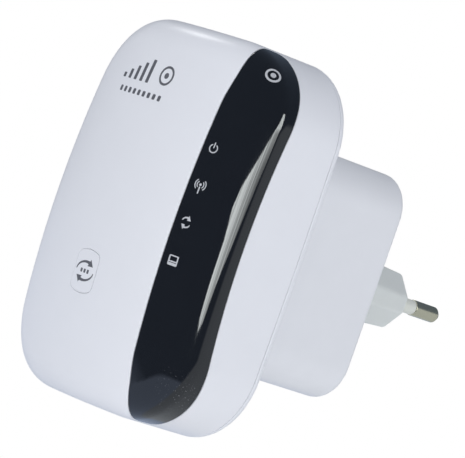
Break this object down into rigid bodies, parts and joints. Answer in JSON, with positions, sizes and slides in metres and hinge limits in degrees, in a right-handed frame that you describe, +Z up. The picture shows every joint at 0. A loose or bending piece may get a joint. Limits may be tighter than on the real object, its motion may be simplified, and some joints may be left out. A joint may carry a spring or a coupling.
{
  "type": "wifi range extender",
  "caption": "Plug-in wifi range extender: rounded white case with a black light panel, pairing button, network port and a two-pin mains plug.",
  "frame": {"origin": "centre of the plug neck's outer face, midway between the two pins", "axes": "+Y points into the wall socket along the plug, +Z is up when plugged in, +X is to the right when the front is looked at"},
  "size_m": [0.065, 0.1026, 0.0922],
  "materials": {
    "white_shell": "semi-gloss moulded white",
    "white_housing": "semi-gloss moulded white",
    "black_panel": "high gloss black",
    "clear_guide": "clear, polished",
    "plug_plastic": "slightly translucent grey-white",
    "pin_metal": "nickel-plated brass",
    "steel": "zinc-plated",
    "board_green": "solder mask",
    "board_tan": "bare paper laminate",
    "chip_black": "moulded epoxy",
    "heatsink": "extruded",
    "contact_gold": "gold flash",
    "led_lens": "moulded lens",
    "switch_plunger": "moulded",
    "ferrite": "sintered ferrite",
    "bobbin": "moulded nylon",
    "winding": "polyester tape over copper",
    "can_sleeve": "shrunk sleeve",
    "disc_blue": "epoxy dip",
    "resistor_body": "lacquered ceramic",
    "wire_red": "insulated wire",
    "label_grey": "satin printed foil"
  },
  "bodies": {
    "housing": {"front_cover": "white_shell", "rear_cover": "white_shell", "power_housing": "white_housing", "light_panel": "black_panel", "light_guide": "clear_guide", "plug_insert": "plug_plastic", "sleeve_left": "plug_plastic", "sleeve_right": "plug_plastic", "pin_left": "pin_metal", "pin_right": "pin_metal", "case_screws": "steel", "plug_screws": "steel", "board_screws": "steel", "power_board_screws": "steel", "jack_shield": "steel", "crystal": "steel", "main_board": "board_green", "power_board": "board_tan", "wifi_chip": "chip_black", "memory_chip": "chip_black", "flash_chip": "chip_black", "lan_transformer": "chip_black", "voltage_regulator": "chip_black", "bridge_rectifier": "chip_black", "switching_controller": "chip_black", "optocoupler": "chip_black", "output_diode": "chip_black", "jack_insert": "chip_black", "pairing_switch": "chip_black", "reset_switch": "chip_black", "input_choke": "chip_black", "chip_heatsink": "heatsink", "jack_contacts": "contact_gold", "antenna_left": "contact_gold", "antenna_right": "contact_gold", "status_leds": "led_lens", "transformer_core": "ferrite", "power_inductor": "ferrite", "transformer_bobbin": "bobbin", "supply_connector": "bobbin", "transformer_winding": "winding", "input_capacitors": "can_sleeve", "output_capacitor": "can_sleeve", "board_capacitors": "can_sleeve", "safety_capacitor": "disc_blue", "fuse_resistor": "resistor_body", "mains_leads": "wire_red", "supply_leads": "wire_red", "rating_label": "label_grey"},
    "pairing_button": {"pairing_button": "white_shell", "pairing_plunger": "switch_plunger"},
    "reset_plunger": {"reset_plunger": "switch_plunger"}
  },
  "joints": [
    {"name": "pairing_press", "type": "slide", "parent": "housing", "child": "pairing_button", "axis": [0, 1, 0], "range_m": [0, 0.0004], "stiffness_N_per_m": 2500, "springref_m": -0.0004},
    {"name": "reset_press", "type": "slide", "parent": "housing", "child": "reset_plunger", "axis": [0, 0, 1], "range_m": [0, 0.00025], "stiffness_N_per_m": 3000, "springref_m": -0.0003}
  ]
}
